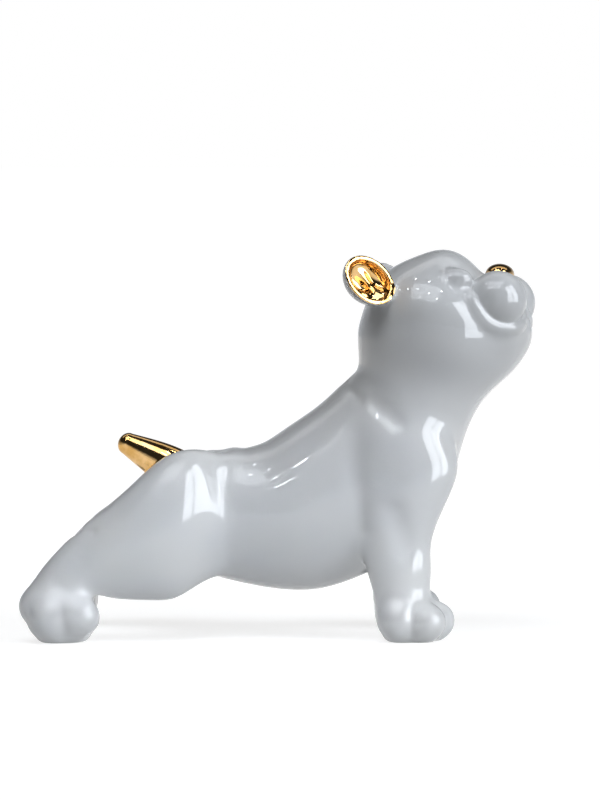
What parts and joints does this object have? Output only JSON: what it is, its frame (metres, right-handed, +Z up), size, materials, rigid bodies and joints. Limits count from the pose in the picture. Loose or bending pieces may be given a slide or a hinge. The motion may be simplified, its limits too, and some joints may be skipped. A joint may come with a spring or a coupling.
{
  "type": "porcelain dog figurine",
  "caption": "Glazed porcelain dog figure in a stretching pose, chest raised and hind legs laid back, with gilded tail, nose and ear linings; stands flat on its paws.",
  "frame": {"origin": "on the shelf, under the middle of the figure's length and width", "axes": "+X towards the muzzle, +Y towards the figure's left side, +Z up"},
  "size_m": [0.1977, 0.0904, 0.1495],
  "materials": {
    "white_glaze": "high-gloss clear glaze over white porcelain",
    "gold_lustre": "bright fired gold lustre over the glaze"
  },
  "bodies": {
    "root": {"torso": "white_glaze", "head": "white_glaze", "ear_right": "white_glaze", "ear_left": "white_glaze", "foreleg_right": "white_glaze", "foreleg_left": "white_glaze", "hind_leg_right": "white_glaze", "hind_leg_left": "white_glaze", "ear_gilding_right": "gold_lustre", "ear_gilding_left": "gold_lustre", "tail": "gold_lustre", "nose": "gold_lustre"}
  },
  "joints": []
}
